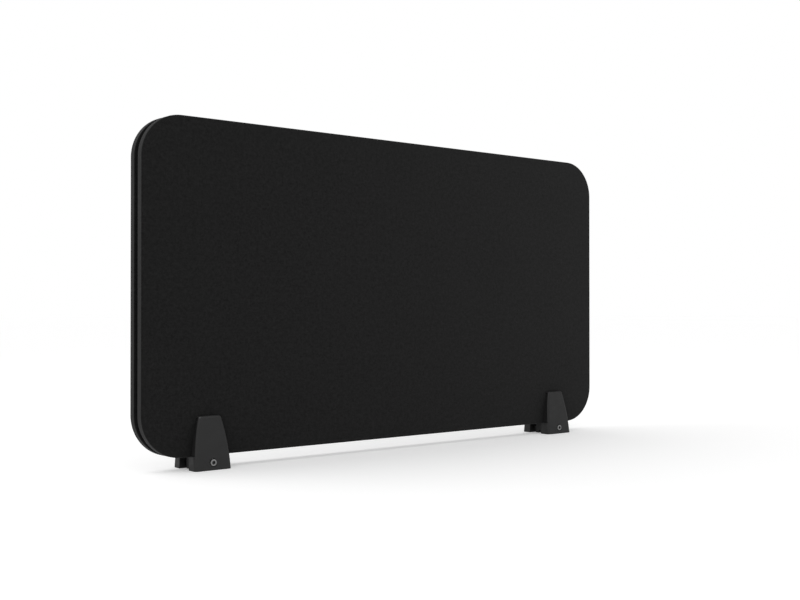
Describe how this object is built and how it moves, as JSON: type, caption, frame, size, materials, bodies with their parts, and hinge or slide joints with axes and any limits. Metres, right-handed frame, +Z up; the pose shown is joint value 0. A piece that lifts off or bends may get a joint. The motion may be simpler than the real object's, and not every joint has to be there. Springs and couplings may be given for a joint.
{
  "type": "desk privacy panel",
  "caption": "Free-standing desk privacy screen: fabric-wrapped twin board with rounded corners and a dark edge groove, held upright by bolted clamp feet.",
  "frame": {"origin": "centre of the footprint, on the desk surface under the foot pads", "axes": "+X along the panel to the right, -Y towards the front where the bolt heads are, +Z up"},
  "size_m": [1.2, 0.0847, 0.65],
  "materials": {
    "black_fabric": "matte fine felted weave",
    "fibreboard": "raw pressed fibre",
    "black_core": "black-stained board edge",
    "beech": "raw beech",
    "black_nylon": "fine moulded texture",
    "black_rubber": "matte",
    "zinc_steel": "zinc-plated"
  },
  "bodies": {
    "panel": {"front_board": "fibreboard", "rear_board": "fibreboard", "front_fabric": "black_fabric", "rear_fabric": "black_fabric", "core_board": "black_core", "lower_left_dowel": "beech", "upper_left_dowel": "beech", "lower_middle_dowel": "beech", "upper_middle_dowel": "beech", "lower_right_dowel": "beech", "upper_right_dowel": "beech"},
    "left_front_clamp": {"left_front_jaw": "black_nylon", "left_front_grip_pad": "black_rubber", "left_front_foot_pad": "black_rubber", "left_bolt_washer": "zinc_steel"},
    "left_rear_clamp": {"left_rear_jaw": "black_nylon", "left_rear_grip_pad": "black_rubber", "left_rear_foot_pad": "black_rubber", "left_clamp_nut": "zinc_steel"},
    "left_bolt": {"left_clamp_bolt": "zinc_steel"},
    "right_front_clamp": {"right_front_jaw": "black_nylon", "right_front_grip_pad": "black_rubber", "right_front_foot_pad": "black_rubber", "right_bolt_washer": "zinc_steel"},
    "right_rear_clamp": {"right_rear_jaw": "black_nylon", "right_rear_grip_pad": "black_rubber", "right_rear_foot_pad": "black_rubber", "right_clamp_nut": "zinc_steel"},
    "right_bolt": {"right_clamp_bolt": "zinc_steel"}
  },
  "joints": [
    {"name": "left_foot_slide", "type": "slide", "parent": "panel", "child": "left_front_clamp", "axis": [1, 0, 0], "range_m": [-0.015, 0.3]},
    {"name": "left_bolt_turn", "type": "hinge", "parent": "left_front_clamp", "child": "left_bolt", "pos_m": [-0.466, -0.0419, 0.014], "axis": [0, -1, 0], "range_deg": [0, 2017]},
    {"name": "left_jaw_slide", "type": "slide", "parent": "left_front_clamp", "child": "left_rear_clamp", "axis": [0, 1, 0], "range_m": [0, 0.007]},
    {"name": "right_foot_slide", "type": "slide", "parent": "panel", "child": "right_front_clamp", "axis": [1, 0, 0], "range_m": [-0.3, 0.015]},
    {"name": "right_bolt_turn", "type": "hinge", "parent": "right_front_clamp", "child": "right_bolt", "pos_m": [0.466, -0.0419, 0.014], "axis": [0, -1, 0], "range_deg": [0, 2017]},
    {"name": "right_jaw_slide", "type": "slide", "parent": "right_front_clamp", "child": "right_rear_clamp", "axis": [0, 1, 0], "range_m": [0, 0.007]}
  ],
  "couplings": [
    {"joint": "left_bolt_turn", "follows": "left_jaw_slide", "rad_per_m": 5026.5},
    {"joint": "right_bolt_turn", "follows": "right_jaw_slide", "rad_per_m": 5026.5}
  ]
}
